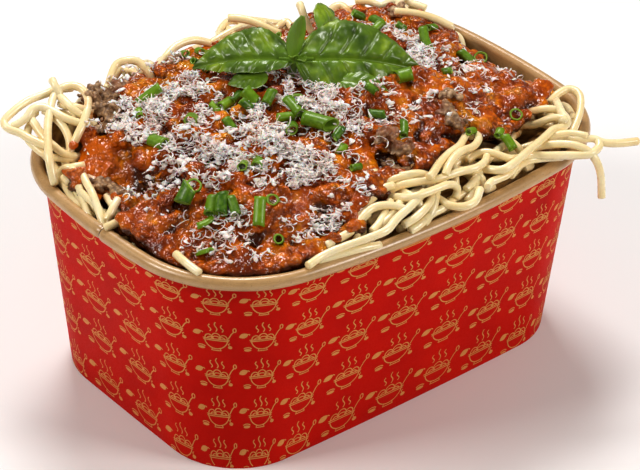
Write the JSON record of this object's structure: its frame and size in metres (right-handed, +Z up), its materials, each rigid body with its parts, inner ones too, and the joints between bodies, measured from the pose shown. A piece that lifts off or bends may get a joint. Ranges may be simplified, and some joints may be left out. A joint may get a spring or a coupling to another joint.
{
  "type": "spaghetti bolognese in a paper bowl",
  "caption": "Rectangular paper food bowl with a rolled rim, heaped with spaghetti, meat sauce, grated cheese, cut chives and a sprig of basil.",
  "frame": {"origin": "centre of the bowl, on the surface its base ring stands on", "axes": "+X along the long side of the bowl, +Z up"},
  "size_m": [0.172, 0.1445, 0.1131],
  "materials": {
    "bowl_paper": "satin",
    "pasta": "satin",
    "sauce": "glossy",
    "basil": "satin"
  },
  "bodies": {
    "root": {"paper_bowl": "bowl_paper", "spaghetti": "pasta", "meat_sauce": "sauce", "basil_sprig": "basil", "basil_leaf": "basil"}
  },
  "joints": []
}
